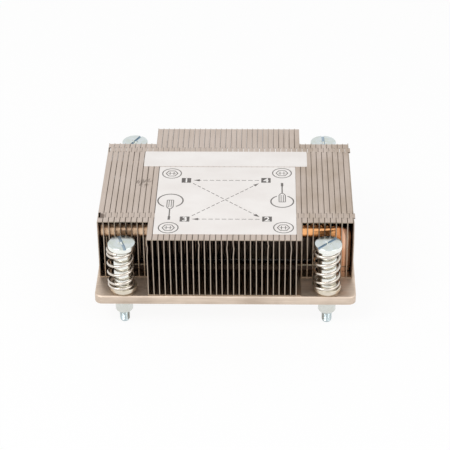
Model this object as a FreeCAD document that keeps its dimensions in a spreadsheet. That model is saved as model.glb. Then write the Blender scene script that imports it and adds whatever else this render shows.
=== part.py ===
"""Low passive CPU heat sink: interlocking folded fins on a nickel-plated base plate.

Frame: millimetres, +Z up, X across the fins, Y along them. The origin is the centre of the
ground contact face under the base plate, which lies on the processor.
"""
import FreeCAD, Part
import math
import os
import re

import Sketcher

os.makedirs("parts", exist_ok=True)
doc = FreeCAD.newDocument("heat_sink")
sheet = doc.addObject("Spreadsheet::Sheet", "sizes")

Vector = FreeCAD.Vector
Rotation = FreeCAD.Rotation
Placement = FreeCAD.Placement

SIZES = {
    # base plate, sized from its screws outwards; base_t counts from the contact face up
    "screw_pitch_x": 80.0,
    "screw_pitch_y": 80.0,
    "base_side": 11.2,
    "base_front": 4.85,
    "base_t": 3.7,
    "base_corner": 3.0,
    "base_edge": 0.4,
    "contact_w": 60.0,
    "contact_t": 0.2,
    # fin stack: the plates stand at one pitch over the whole width
    "stack_side": 1.2,
    "fin_steps": 45,
    "side_fins": 9,
    "fin_h": 25.8,
    "fin_t": 0.35,
    "fin_gap": 0.06,
    "long_fin_inset": 0.85,
    "short_fin_clear": 3.7,
    "ear_l": 0.8,
    "tab_inset": 5.0,
    "tab_w": 3.0,
    "tab_flare": 0.8,
    "tab_reach": 0.6,
    # heat pipes, each bent into a U that lies on its side
    "pipe_d": 6.0,
    "pipe_inset": 7.0,
    "pipe_rise": 18.0,
    "bend_r": 6.5,
    "groove_depth": 2.6,
    "end_gap": 0.325,
    "fit_gap": 0.05,
    # captive screws: the clip keeps each from rising out of the base plate
    "head_d": 10.8,
    "head_t": 2.1,
    "head_over_base": 22.1,
    "slot_w": 1.0,
    "slot_depth": 1.0,
    "cross_l": 4.4,
    "cross_depth": 1.7,
    "barrel_d": 6.9,
    "barrel_below": 5.1,
    "clip_d": 9.6,
    "clip_t": 0.7,
    "nose_l": 1.4,
    "stud_d": 4.0,
    "stud_l": 4.1,
    "barrel_gap": 0.2,
    # springs and the flanged rings they stand on
    "ring_d": 10.6,
    "ring_t": 1.6,
    "hub_wall": 0.55,
    "hub_t": 1.05,
    "spring_d": 10.8,
    "wire_d": 1.1,
    "spring_turns": 5.25,
    "seat_gap": 0.02,
    # stickers on the fin tops
    "sticker_t": 0.12,
    "strip_x": -0.9,
    "strip_y": 18.3,
    "strip_w": 67.0,
    "strip_d": 12.3,
    "card_x": 0.0,
    "card_y": -14.2,
    "card_w": 55.5,
    "card_d": 51.8,
}
FORMULAS = {
    "base_w": "=screw_pitch_x + 2 * base_side",
    "base_d": "=screw_pitch_y + 2 * base_front",
    "stack_w": "=base_w - 2 * stack_side",
    "long_fin_d": "=base_d - 2 * long_fin_inset",
    "short_fin_d": "=screw_pitch_y - ring_d - 2 * short_fin_clear",
    "tab_row_y": "=short_fin_d / 2 - tab_inset",
    "fin_step": "=stack_w / fin_steps",
    "pipe_y": "=short_fin_d / 2 - pipe_inset",
    "pipe_reach": "=stack_w / 2 - fin_t / 2 - end_gap",
    "pipe_high_z": "=base_t + pipe_rise",
    "pipe_low_z": "=base_t - groove_depth + pipe_d / 2",
    "bend_x": "=pipe_reach - pipe_d / 2 - bend_r",
    "head_top_z": "=base_t + head_over_base",
    "screw_below": "=barrel_below + nose_l + stud_l",
    "top_z": "=base_t + fin_h",
    "hole_d": "=barrel_d + 2 * barrel_gap",
    "hub_d": "=barrel_d + 2 * barrel_gap + 2 * hub_wall",
    "ring_top_z": "=base_t + hub_t + ring_t",
    "spring_l": "=head_top_z - head_t - base_t - hub_t - ring_t",
    "tab_l": "=fin_t + tab_reach",
    "fold_w": "=stack_w / fin_steps - fin_gap",
}

for row, (name, value) in enumerate({**SIZES, **FORMULAS}.items(), start=1):
    sheet.set(f"A{row}", name)
    sheet.set(f"B{row}", str(value))
    sheet.setAlias(f"B{row}", name)
doc.recompute()

EXPORTS = []


def size(name):
    """Return a value of the sheet as a plain number."""
    return float(getattr(sheet, name))


def linked(text):
    """Return an expression in which every sheet name points into the sheet."""
    return re.sub(r"\b(" + "|".join({**SIZES, **FORMULAS}) + r")\b", r"sizes.\1", text)


def bind(target, **expressions):
    """Bind properties; x, y and z stand for the position, lift for a sketch's height."""
    places = {"x": "Placement.Base.x", "y": "Placement.Base.y", "z": "Placement.Base.z",
              "lift": "AttachmentOffset.Base.z"}
    for key, text in expressions.items():
        target.setExpression(places.get(key, key), linked(text))


def sub_part(item, label):
    """Name an object as a piece of its own, to be written to a file."""
    item.Label = label
    EXPORTS.append(item)
    return item


def box(name, **expressions):
    """Add a box whose sizes and corner are bound to the sheet."""
    item = doc.addObject("Part::Box", name)
    bind(item, **expressions)
    return item


def new_body(name):
    """Add an empty body."""
    return doc.addObject("PartDesign::Body", name)


def plane(body, role):
    """Return an origin plane of a body."""
    return next(item for item in body.Origin.OriginFeatures if item.Role == role)


def sketch_on(body, name, role):
    """Add a sketch on an origin plane of its body."""
    item = body.newObject("Sketcher::SketchObject", name)
    item.AttachmentSupport = (plane(body, role), [""])
    item.MapMode = "FlatFace"
    return item


def rough_polygon(count):
    """Return the corners of a polygon off both axes, from which a sketch is solved."""
    away = 2 * size("pipe_d")
    turns = [2 * math.pi * i / count for i in range(count)]
    return [Vector(away + size("pipe_d") * math.cos(turn), away + size("pipe_d") * math.sin(turn), 0)
            for turn in turns]


def outline(sketch, corners, closed=True):
    """Draw an outline or an open path whose corners are bound to the sheet.

    A corner is a pair of expressions; "0" puts the corner on the axis.
    """
    count = len(corners)
    lines = count if closed else count - 1
    spots = rough_polygon(count)
    for i in range(lines):
        sketch.addGeometry(Part.LineSegment(spots[i], spots[(i + 1) % count]), False)
    for i in range(lines if closed else lines - 1):
        sketch.addConstraint(Sketcher.Constraint("Coincident", i, 2, (i + 1) % count, 1))
    for i, (across, up) in enumerate(corners):
        line, end = (i, 1) if i < lines else (i - 1, 2)
        for kind, text in (("DistanceX", across), ("DistanceY", up)):
            if text == "0":
                on_axis = -2 if kind == "DistanceX" else -1
                sketch.addConstraint(Sketcher.Constraint("PointOnObject", line, end, on_axis))
                continue
            spot = spots[i].x if kind == "DistanceX" else spots[i].y
            fixed_by(sketch, (kind, -1, 1, line, end, spot), text)


def centred_rectangle(sketch, width, depth):
    """Draw a rectangle about the sketch origin, its sides bound to the sheet."""
    start = size("stud_d")
    signs = ((-1, -1), (1, -1), (1, 1), (-1, 1))
    spots = [Vector(across * start, up * start, 0) for across, up in signs]
    for i in range(4):
        sketch.addGeometry(Part.LineSegment(spots[i], spots[(i + 1) % 4]), False)
    for i in range(4):
        sketch.addConstraint(Sketcher.Constraint("Coincident", i, 2, (i + 1) % 4, 1))
    for i, kind in enumerate(("Horizontal", "Vertical", "Horizontal", "Vertical")):
        sketch.addConstraint(Sketcher.Constraint(kind, i))
    sketch.addConstraint(Sketcher.Constraint("Symmetric", 0, 1, 2, 1, -1, 1))
    for kind, side, text in (("DistanceX", 0, width), ("DistanceY", 1, depth)):
        fixed_by(sketch, (kind, side, 1, side, 2, 2 * start), text)


def circle_in(sketch, across, up, diameter):
    """Draw a circle, its centre and diameter bound to the sheet."""
    start = size("pipe_d")
    sketch.addGeometry(Part.Circle(Vector(start, start, 0), Vector(0, 0, 1), start / 2), False)
    fixed_by(sketch, ("DistanceX", -1, 1, 0, 3, start), across)
    fixed_by(sketch, ("DistanceY", -1, 1, 0, 3, start), up)
    fixed_by(sketch, ("Diameter", 0, start), diameter)


def repeat(body, name, feature, sketch, axes):
    """Mirror a feature about one or two axes of its sketch."""
    pattern = body.newObject("PartDesign::MultiTransform", name)
    pattern.Originals = [feature]
    flips = []
    for axis in axes:
        flip = body.newObject("PartDesign::Mirrored", f"{name}_{axis[0].lower()}_flip")
        flip.MirrorPlane = (sketch, [axis])
        flips.append(flip)
    pattern.Transformations = flips
    body.Tip = pattern
    doc.recompute()


def edge_names(shape, wanted):
    """Return the names of the edges of a shape that pass a test."""
    return [f"Edge{i}" for i, edge in enumerate(shape.Edges, start=1) if wanted(edge)]


def fixed_by(sketch, constraint, text):
    """Add a constraint with a size and bind the size to the sheet."""
    number = sketch.addConstraint(Sketcher.Constraint(*constraint))
    sketch.setExpression(f"Constraints[{number}]", linked(text))


# Heat pipes
PIPE_SIDES = 8
BEND_STEPS = 4


def heat_pipe(name):
    """Add a pipe bent into a U on its side, its open end at x = 0, in the plane y = 0.

    Section and bend have few sides, because only slivers of the pipe show between the fins.
    """
    body = new_body(name)
    route = sketch_on(body, name + "_route", "XZ_Plane")
    bend = [(math.cos(turn), math.sin(turn))
            for turn in (math.pi / 2 * (1 - i / BEND_STEPS) for i in range(BEND_STEPS + 1))]
    outline(route, [("0", "pipe_high_z")] +
            [(f"bend_x + pipe_reach + bend_r * {out:.9f}", f"pipe_high_z - bend_r + bend_r * {up:.9f}")
             for out, up in bend] +
            [(f"bend_x + pipe_reach + bend_r * {out:.9f}", f"pipe_low_z + bend_r - bend_r * {up:.9f}")
             for out, up in reversed(bend)] +
            [("0", "pipe_low_z")], closed=False)
    section = sketch_on(body, name + "_section", "YZ_Plane")
    turns = [2 * math.pi * (i + 0.5) / PIPE_SIDES for i in range(PIPE_SIDES)]
    outline(section, [(f"pipe_d / 2 * {math.cos(turn):.9f}",
                       f"pipe_high_z + pipe_d / 2 * {math.sin(turn):.9f}") for turn in turns])
    doc.recompute()
    swept = body.newObject("PartDesign::AdditivePipe", name + "_swept")
    swept.Profile = section
    swept.Spine = (route, [f"Edge{i}" for i in range(1, 2 * BEND_STEPS + 4)])
    swept.Transition = "Right corner"
    return body


for label, side in (("heat_pipe_front", "-1"), ("heat_pipe_rear", "1")):
    bind(sub_part(heat_pipe(label), label), x="-1 * pipe_reach", y=f"{side} * pipe_y")


# Base plate
base_body = new_body("base_plate")
base_sketch = sketch_on(base_body, "base_outline", "XY_Plane")
bind(base_sketch, lift="contact_t")
centred_rectangle(base_sketch, "base_w", "base_d")
base_pad = base_body.newObject("PartDesign::Pad", "base_pad")
base_pad.Profile = base_sketch
bind(base_pad, Length="base_t - contact_t")
doc.recompute()
corner_round = base_body.newObject("PartDesign::Fillet", "corner_round")
corner_round.Base = (base_pad, edge_names(
    base_pad.Shape, lambda edge: abs(edge.tangentAt(edge.FirstParameter).z) > 0.9))
bind(corner_round, Radius="base_corner")
doc.recompute()
top_edge = base_body.newObject("PartDesign::Chamfer", "top_edge")
top_edge.Base = (corner_round, edge_names(
    corner_round.Shape, lambda edge: edge.BoundBox.ZMin > size("base_t") - 0.01))
bind(top_edge, Size="base_edge")
screw_sketch = sketch_on(base_body, "screw_place", "XY_Plane")
circle_in(screw_sketch, "screw_pitch_x / 2", "screw_pitch_y / 2", "hole_d")
screw_hole = base_body.newObject("PartDesign::Pocket", "screw_hole")
screw_hole.Profile = screw_sketch
screw_hole.Type = "ThroughAll"
screw_hole.Reversed = True
doc.recompute()
repeat(base_body, "screw_holes", screw_hole, screw_sketch, ["V_Axis", "H_Axis"])
groove_sketch = sketch_on(base_body, "groove_section", "YZ_Plane")
circle_in(groove_sketch, "pipe_y", "pipe_low_z", "pipe_d + 2 * fit_gap")
pipe_groove = base_body.newObject("PartDesign::Pocket", "pipe_groove")
pipe_groove.Profile = groove_sketch
pipe_groove.Midplane = True
bind(pipe_groove, Length="2 * pipe_reach + 2 * fit_gap")
doc.recompute()
repeat(base_body, "pipe_grooves", pipe_groove, groove_sketch, ["V_Axis"])
contact_sketch = sketch_on(base_body, "contact_outline", "XY_Plane")
centred_rectangle(contact_sketch, "contact_w", "contact_w")
contact_face = base_body.newObject("PartDesign::Pad", "contact_face")
contact_face.Profile = contact_sketch
bind(contact_face, Length="contact_t")
sub_part(base_body, "base_plate")


# Folded fins
def fin_feature(body, kind, name, sketch, **expressions):
    """Add a pad or pocket of a sketch that grows away from the origin planes."""
    feature = body.newObject("PartDesign::" + kind, name)
    feature.Profile = sketch
    feature.Reversed = kind == "Pocket"
    bind(feature, **expressions)
    doc.recompute()
    return feature


def dovetail(sketch, near_x, far_x, near_w, far_w):
    """Draw the outline of a tab or notch that widens along X, on the rear row of tabs."""
    outline(sketch, [(near_x, f"tab_row_y - ( {near_w} ) / 2"), (far_x, f"tab_row_y - ( {far_w} ) / 2"),
                     (far_x, f"tab_row_y + ( {far_w} ) / 2"), (near_x, f"tab_row_y + ( {near_w} ) / 2")])


def folded_fin(name, depth):
    """Add a fin of folded sheet: a plate whose top and foot are folded over towards +X.

    The plate's outer face stands on x = 0 and its foot on z = 0. The plate ends in an ear behind
    its folds, which are depth long and centred on y = 0. Dovetail tabs on the top fold
    reach into notches of the next fin. One die cuts all the fins, so each has the slots, open at
    the foot, that let the stack down over both runs of the pipes and over their bends.
    """
    body = new_body(name)
    section = sketch_on(body, name + "_section", "XZ_Plane")
    outline(section, [("0", "0"), ("fold_w", "0"), ("fold_w", "fin_t"), ("fin_t", "fin_t"),
                      ("fin_t", "fin_h - fin_t"), ("fold_w", "fin_h - fin_t"),
                      ("fold_w", "fin_h"), ("0", "fin_h")])
    sheet_metal = body.newObject("PartDesign::Pad", name + "_sheet")
    sheet_metal.Profile = section
    sheet_metal.Midplane = True
    bind(section, lift="ear_l / -2")
    bind(sheet_metal, Length=f"{depth} + ear_l")
    doc.recompute()
    rear = sketch_on(body, name + "_rear_outline", "XY_Plane")
    outline(rear, [("fin_t", f"{depth} / 2"), ("fold_w", f"{depth} / 2"),
                   ("fold_w", f"{depth} / 2 + ear_l"), ("fin_t", f"{depth} / 2 + ear_l")])
    fin_feature(body, "Pocket", name + "_rear", rear).Type = "ThroughAll"
    notch_outline = sketch_on(body, name + "_notch_outline", "XY_Plane")
    bind(notch_outline, lift="fin_h - fin_t")
    dovetail(notch_outline, "0", "tab_l", "tab_w + 2 * fin_gap", "tab_w + tab_flare + 2 * fin_gap")
    notch = fin_feature(body, "Pocket", name + "_notch", notch_outline, Length="fin_t")
    repeat(body, name + "_notches", notch, notch_outline, ["H_Axis"])
    tab_outline = sketch_on(body, name + "_tab_outline", "XY_Plane")
    bind(tab_outline, lift="fin_h - fin_t")
    dovetail(tab_outline, "fold_w", "fold_w + tab_l", "tab_w", "tab_w + tab_flare")
    tab = fin_feature(body, "Pad", name + "_tab", tab_outline, Length="fin_t")
    repeat(body, name + "_tabs", tab, tab_outline, ["H_Axis"])
    slot_outline = sketch_on(body, name + "_slot_outline", "YZ_Plane")
    slot_near = "pipe_y - pipe_d / 2 - fit_gap"
    slot_far = "pipe_y + pipe_d / 2 + fit_gap"
    slot_top = "pipe_high_z - base_t + pipe_d / 2 + fit_gap"
    outline(slot_outline, [(slot_near, "0"), (slot_far, "0"), (slot_far, slot_top),
                           (slot_near, slot_top)])
    pipe_slot = fin_feature(body, "Pocket", name + "_slot", slot_outline)
    pipe_slot.Type = "ThroughAll"
    repeat(body, name + "_slots", pipe_slot, slot_outline, ["V_Axis"])
    return body


def copy_of(master, name):
    """Add a body that repeats a master body."""
    body = new_body(name)
    clone = doc.addObject("PartDesign::FeatureBase", name + "_clone")
    clone.BaseFeature = master
    body.Group = [clone]
    body.Tip = clone
    return body


short_fin = folded_fin("short_fin", "short_fin_d")
long_fin = folded_fin("long_fin", "long_fin_d")

STEPS = int(size("fin_steps"))
SIDE_FINS = int(size("side_fins"))

for step in range(STEPS):
    if step < SIDE_FINS:
        label, master = f"left_fin_{step + 1:02d}", short_fin
    elif step < STEPS - SIDE_FINS:
        label, master = f"centre_fin_{step - SIDE_FINS + 1:02d}", long_fin
    else:
        label, master = f"right_fin_{step - STEPS + SIDE_FINS + 1:02d}", short_fin
    fin = sub_part(copy_of(master, label), label)
    bind(fin, x=f"{step} * fin_step - stack_w / 2 - fin_t / 2", z="base_t")

# End plate, flat, with notches in its top edge for the last fin's tabs
end_body = new_body("end_plate")
end_outline = sketch_on(end_body, "end_outline", "YZ_Plane")
near = "tab_row_y - (tab_w + tab_flare) / 2 - fin_gap"
far = "tab_row_y + (tab_w + tab_flare) / 2 + fin_gap"
outline(end_outline, [
    ("short_fin_d / -2", "0"), ("short_fin_d / 2 + ear_l", "0"),
    ("short_fin_d / 2 + ear_l", "fin_h"), (far, "fin_h"), (far, "fin_h - fin_t"),
    (near, "fin_h - fin_t"), (near, "fin_h"), (f"-1 * ({near})", "fin_h"),
    (f"-1 * ({near})", "fin_h - fin_t"),
    (f"-1 * ({far})", "fin_h - fin_t"), (f"-1 * ({far})", "fin_h"),
    ("short_fin_d / -2", "fin_h")])
fin_feature(end_body, "Pad", "end_sheet", end_outline, Length="fin_t")
bind(sub_part(end_body, "end_plate"), x="stack_w / 2 - fin_t / 2", z="base_t")


# Captive screws, springs and rings
# Side, end, and the directions of the head's slot and of the spring's lower end in degrees
CORNERS = {"front_left": (-1, -1, 108, 169), "front_right": (1, -1, 46, 82),
           "rear_left": (-1, 1, 63, 30), "rear_right": (1, 1, 92, 250)}


def screw(name):
    """Add a shoulder screw standing on its tip: stud, nose, barrel with its clip, and head."""
    body = new_body(name)
    profile = sketch_on(body, name + "_profile", "XZ_Plane")
    low = "screw_below"
    under = f"{low} - contact_t + head_top_z - head_t"
    top = f"{low} - contact_t + head_top_z"
    outline(profile, [
        ("0", "0"),
        ("stud_d / 2", "0"),
        ("stud_d / 2", "stud_l"),
        ("barrel_d / 2", "stud_l + nose_l"),
        ("barrel_d / 2", f"{low} - clip_t"),
        ("clip_d / 2", f"{low} - clip_t"),
        ("clip_d / 2", low),
        ("barrel_d / 2", low),
        ("barrel_d / 2", under),
        ("head_d / 2", under),
        ("head_d / 2", top),
        ("0", top)])
    turned = body.newObject("PartDesign::Revolution", name + "_turned")
    turned.Profile = profile
    turned.ReferenceAxis = (profile, ["V_Axis"])
    turned.Angle = 360
    doc.recompute()
    for part, width, depth, deep in (("slot", "head_d + slot_w", "slot_w", "slot_depth"),
                                     ("cross_a", "cross_l", "slot_w", "cross_depth"),
                                     ("cross_b", "slot_w", "cross_l", "cross_depth")):
        recess = sketch_on(body, f"{name}_{part}_outline", "XY_Plane")
        bind(recess, lift=top)
        centred_rectangle(recess, width, depth)
        pocket = body.newObject("PartDesign::Pocket", f"{name}_{part}")
        pocket.Profile = recess
        bind(pocket, Length=deep)
        doc.recompute()
    return body


WIRE_SIDES = 4
TURN_STEPS = 8
CLOSED_TURNS = 0.875


def coil_path():
    """Return the spring's centre line as a polygon round its true circle.

    The height rises slowly over the closed turns at both ends and evenly in between.
    """
    turns = size("spring_turns")
    radius = (size("spring_d") - size("wire_d")) / 2 / math.cos(math.pi / TURN_STEPS)
    low = size("wire_d") / 2 + size("seat_gap")
    rise = size("spring_l") - 2 * low
    closed = size("wire_d") + size("seat_gap")
    steep = (rise - 2 * CLOSED_TURNS * closed) / (turns - 2 * CLOSED_TURNS)
    points = []
    for i in range(int(turns * TURN_STEPS) + 1):
        turn = i / TURN_STEPS
        open_turn = min(max(turn - CLOSED_TURNS, 0), turns - 2 * CLOSED_TURNS)
        height = closed * (turn - open_turn) + steep * open_turn
        angle = 2 * math.pi * turn
        points.append(Vector(radius * math.cos(angle), radius * math.sin(angle), low + height))
    return points


def spring(name):
    """Add a compression spring with few-sided wire, its lower end at z = 0."""
    path = coil_path()
    ahead = (path[1] - path[0]).normalize()
    side = Vector(path[0].x, path[0].y, 0).normalize()
    up = ahead.cross(side)
    radius = size("wire_d") / 2
    turns = [2 * math.pi * i / WIRE_SIDES for i in range(WIRE_SIDES)]
    ring = [path[0] + side * (radius * math.cos(turn)) + up * (radius * math.sin(turn))
            for turn in turns]
    section = Part.makePolygon(ring + [ring[0]])
    item = doc.addObject("Part::Feature", name)
    item.Shape = Part.makePolygon(path).makePipeShell([section], True, False, 1)
    return item


def flanged_ring(name):
    """Add a ring that stands on its narrow hub, its flange on top."""
    body = new_body(name)
    profile = sketch_on(body, name + "_profile", "XZ_Plane")
    outline(profile, [("hole_d / 2", "0"), ("hub_d / 2", "0"), ("hub_d / 2", "hub_t"),
                      ("ring_d / 2", "hub_t"), ("ring_d / 2", "hub_t + ring_t"),
                      ("hole_d / 2", "hub_t + ring_t")])
    turned = body.newObject("PartDesign::Revolution", name + "_turned")
    turned.Profile = profile
    turned.ReferenceAxis = (profile, ["V_Axis"])
    turned.Angle = 360
    return body


rings = []
for corner, (across, along, turn, spring_turn) in CORNERS.items():
    place = {"x": f"{across} * screw_pitch_x / 2", "y": f"{along} * screw_pitch_y / 2"}
    one_screw = sub_part(screw("screw_" + corner), "screw_" + corner)
    one_screw.Placement = Placement(Vector(), Rotation(Vector(0, 0, 1), turn))
    bind(one_screw, z="contact_t - screw_below", **place)
    one_spring = sub_part(spring("spring_" + corner), "spring_" + corner)
    one_spring.Placement = Placement(Vector(), Rotation(Vector(0, 0, 1), spring_turn))
    bind(one_spring, z="ring_top_z", **place)
    one_ring = flanged_ring("ring_" + corner)
    bind(one_ring, z="base_t", **place)
    rings.append(one_ring)
spring_rings = doc.addObject("Part::Compound", "spring_rings")
spring_rings.Links = rings
sub_part(spring_rings, "spring_rings")


# Stickers
for label, stem in (("identification_sticker", "strip"), ("fitting_guide_sticker", "card")):
    sub_part(box(label, x=f"{stem}_x - {stem}_w / 2", y=f"{stem}_y - {stem}_d / 2", z="top_z",
                 Length=f"{stem}_w", Width=f"{stem}_d", Height="sticker_t"), label)

doc.recompute()
for item in doc.Objects:
    if "Invalid" in item.State or "Error" in item.State:
        raise RuntimeError(f"{item.Name} failed: {item.State}")
for item in EXPORTS:
    if item.Shape.isNull() or not item.Shape.isValid() or not item.Shape.Solids:
        raise RuntimeError(f"{item.Label} has no valid solid")
    item.Shape.exportStep(f"parts/{item.Label}.step")
print(len(EXPORTS), "pieces written")
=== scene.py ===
"""The looks of a low passive CPU heat sink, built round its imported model.

Lengths are written in millimetres in the model's own frame (X across the fins, Y along
them, Z up from the contact face) and are turned to metres where a mesh is made.
"""
import contextlib
import enum
import functools
import logging
import math
from collections.abc import Iterator
from dataclasses import dataclass

import bmesh
import bpy
import numpy as np
from mathutils import Matrix, Vector


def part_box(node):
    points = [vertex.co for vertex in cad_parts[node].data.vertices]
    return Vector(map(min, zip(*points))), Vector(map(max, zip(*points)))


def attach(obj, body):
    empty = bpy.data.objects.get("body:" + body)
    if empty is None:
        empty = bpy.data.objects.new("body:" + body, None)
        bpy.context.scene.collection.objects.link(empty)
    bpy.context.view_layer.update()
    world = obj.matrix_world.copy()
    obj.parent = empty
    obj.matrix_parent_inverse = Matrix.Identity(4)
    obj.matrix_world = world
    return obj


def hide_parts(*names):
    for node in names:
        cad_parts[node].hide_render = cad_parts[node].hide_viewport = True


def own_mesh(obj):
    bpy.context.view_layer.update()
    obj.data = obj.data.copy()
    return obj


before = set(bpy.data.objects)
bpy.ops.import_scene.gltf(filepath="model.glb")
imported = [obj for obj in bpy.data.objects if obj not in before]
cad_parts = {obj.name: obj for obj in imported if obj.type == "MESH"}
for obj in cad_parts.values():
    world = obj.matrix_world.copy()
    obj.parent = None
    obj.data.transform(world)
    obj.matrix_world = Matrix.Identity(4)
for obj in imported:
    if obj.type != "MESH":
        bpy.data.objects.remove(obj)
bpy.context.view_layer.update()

LOG = logging.getLogger("heat_sink")
MM = 0.001
SEED = 41
STACK = "heat_sink"

Points = np.ndarray
Faces = list
Node = bpy.types.Node
Piece = bpy.types.Object
Socket = bpy.types.NodeSocket
Tree = bpy.types.NodeTree


class Slot(enum.Enum):
    """The record's material slots."""

    BASE = "nickel_plated_copper"
    FIN = "nickel_plated_fin"
    PIPE = "copper"
    SCREW = "zinc_plated_steel"
    SPRING = "spring_wire"
    RING = "ring_steel"
    PAPER = "sticker_paper"


class Corner(enum.Enum):
    """The four screws: side, end, the directions of slot and spring end, the spring's shift."""

    FRONT_LEFT = ("front_left", -1, -1, 108, 169, (-0.7, -0.15))
    FRONT_RIGHT = ("front_right", 1, -1, 46, 82, (-0.5, -0.3))
    REAR_LEFT = ("rear_left", -1, 1, 63, 30, (-0.25, 0.1))
    REAR_RIGHT = ("rear_right", 1, 1, 92, 250, (0.25, 0.1))


# Numbers and meshes

def smooth_step(low: float, high: float, values: np.ndarray) -> np.ndarray:
    """Rise from 0 at low to 1 at high with flat ends.

    Args:
        low: Where the rise starts.
        high: Where it ends.
        values: The numbers to look up.

    Returns:
        3 t^2 - 2 t^3 of the share t of the way from low to high.
    """
    share = np.clip((values - low) / (high - low), 0, 1)
    return share * share * (3 - 2 * share)


def grid_faces(rows: int, columns: int, ring: bool = False) -> np.ndarray:
    """Number the four corners of every cell of a grid of points.

    Args:
        rows: Points along the first parameter.
        columns: Points along the second parameter.
        ring: Whether the second parameter closes on itself.

    Returns:
        An array of cells by 4 point numbers, first parameter outermost.
    """
    wide = columns if ring else columns - 1
    row, column = np.meshgrid(np.arange(rows - 1), np.arange(wide), indexing="ij")
    after = (column + 1) % columns
    corners = (row * columns + column, row * columns + after,
               (row + 1) * columns + after, (row + 1) * columns + column)
    return np.stack(corners, axis=-1).reshape(-1, 4)


def placed(name: str, data: bpy.types.ID) -> Piece:
    """Put a new object at the scene's origin.

    Args:
        name: Its name.
        data: Its mesh, curve, lamp or camera.

    Returns:
        The object.
    """
    piece = bpy.data.objects.new(name, data)
    bpy.context.scene.collection.objects.link(piece)
    return piece


def evaluated(piece: Piece) -> bpy.types.Mesh:
    """Return a new plain mesh of a piece, its modifiers worked in."""
    graph = bpy.context.evaluated_depsgraph_get()
    return bpy.data.meshes.new_from_object(piece.evaluated_get(graph), depsgraph=graph)


def box_of(node: str) -> tuple:
    """Return the low and the high corner of a CAD node's box in millimetres."""
    return tuple(np.array(corner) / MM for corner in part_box(node))


def mesh_parts(mesh: bpy.types.Mesh) -> tuple:
    """Read a mesh.

    Args:
        mesh: The mesh.

    Returns:
        Its points and the point numbers of each face.
    """
    points = np.empty(len(mesh.vertices) * 3)
    mesh.vertices.foreach_get("co", points)
    return points.reshape(-1, 3), [list(polygon.vertices) for polygon in mesh.polygons]


def make_piece(name: str, points: Points, faces: Faces, finishes: list, body: str,
               replaced: tuple = (), smooth: bool = True) -> Piece:
    """Make an object at the origin from points in millimetres, and let it ride on a body.

    Args:
        name: The piece's name.
        points: Points by 3, in millimetres.
        faces: Point numbers of each face.
        finishes: The finishes of its material slots, in order.
        body: The body that carries it.
        replaced: The CAD nodes that it stands for.
        smooth: Whether its faces are shaded smooth.

    Returns:
        The new object.
    """
    mesh = bpy.data.meshes.new(name)
    mesh.from_pydata((np.asarray(points, float) * MM).tolist(), [], [list(face) for face in faces])
    mesh.polygons.foreach_set("use_smooth", np.full(len(mesh.polygons), smooth))
    for finish in finishes:
        mesh.materials.append(material_of(finish))
    piece = placed(name, mesh)
    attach(piece, body)
    if replaced:
        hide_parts(*replaced)
    return piece


def modify(piece: Piece, kind: str, **settings: object) -> bpy.types.Modifier:
    """Add a modifier with its settings.

    Args:
        piece: The object that gets it.
        kind: The modifier's type.
        settings: Its properties.

    Returns:
        The modifier.
    """
    modifier = piece.modifiers.new(kind.lower(), kind)
    for key, value in settings.items():
        setattr(modifier, key, value)
    return modifier


def settle(piece: Piece, sharp: float = 35.0) -> Piece:
    """Turn a piece's modifiers into plain mesh and mark its sharp edges.

    Args:
        piece: The object.
        sharp: The angle in degrees from which an edge is shaded sharp.

    Returns:
        The same object.
    """
    mesh = evaluated(piece)
    piece.modifiers.clear()
    piece.data = mesh
    mesh.set_sharp_from_angle(angle=math.radians(sharp))
    return piece


@contextlib.contextmanager
def reworked(piece: Piece) -> Iterator[bmesh.types.BMesh]:
    """Open a piece's mesh for changes and write them back afterwards.

    Args:
        piece: The object.

    Yields:
        Its mesh to work on.
    """
    work = bmesh.new()
    work.from_mesh(piece.data)
    yield work
    work.to_mesh(piece.data)
    work.free()


def outwards(piece: Piece) -> None:
    """Turn a closed piece's faces outwards."""
    with reworked(piece) as work:
        bmesh.ops.recalc_face_normals(work, faces=work.faces)


def turned_faces(rows: int, sides: int) -> Faces:
    """Return the faces of a turned shape whose two ends are closed by flat polygons.

    Args:
        rows: Points of its profile.
        sides: Points round the axis.

    Returns:
        Quads between the rows and one polygon at each end.
    """
    faces = grid_faces(rows, sides, ring=True).tolist()
    return faces + [list(range(sides))[::-1], list(range((rows - 1) * sides, rows * sides))]


def turned(profile: Points, sides: int, centre: tuple) -> Points:
    """Turn a profile of radius and height round an upright axis.

    The point at profile row p and angle a is centre + (r cos a, r sin a, z).

    Args:
        profile: Rows of radius and height, from the bottom up.
        sides: Points round the axis.
        centre: The axis in X and Y.

    Returns:
        The points, row by row.
    """
    angle = np.arange(sides) * 2 * math.pi / sides
    radius, height = profile[:, :1], profile[:, 1:]
    points = np.stack([centre[0] + radius * np.cos(angle), centre[1] + radius * np.sin(angle),
                       height + 0 * angle], axis=-1)
    return points.reshape(-1, 3)


def rounded(corners: list, steps: int = 4) -> Points:
    """Round the corners of a profile.

    A corner's curve at share t is corner + a (1 - t)^2 + b t^2, where a and b reach one
    rounding from the corner along its two sides.

    Args:
        corners: Rows of radius from the axis, height and rounding.
        steps: Steps of each rounded corner.

    Returns:
        Rows of radius and height.
    """
    table = np.array(corners, float)
    spots, rounding = table[:, :2], table[:, 2]
    before, after = np.roll(spots, 1, axis=0) - spots, np.roll(spots, -1, axis=0) - spots
    reach = [side / np.maximum(np.linalg.norm(side, axis=1, keepdims=True), 1e-9) * rounding[:, None]
             for side in (before, after)]
    share = np.linspace(0, 1, steps + 1)[:, None, None]
    curve = (spots + reach[0] * (1 - share) ** 2 + reach[1] * share ** 2).transpose(1, 0, 2)
    keep = np.ones(curve.shape[:2], bool)
    keep[rounding == 0, 1:] = False
    return curve[keep]


# Materials

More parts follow.
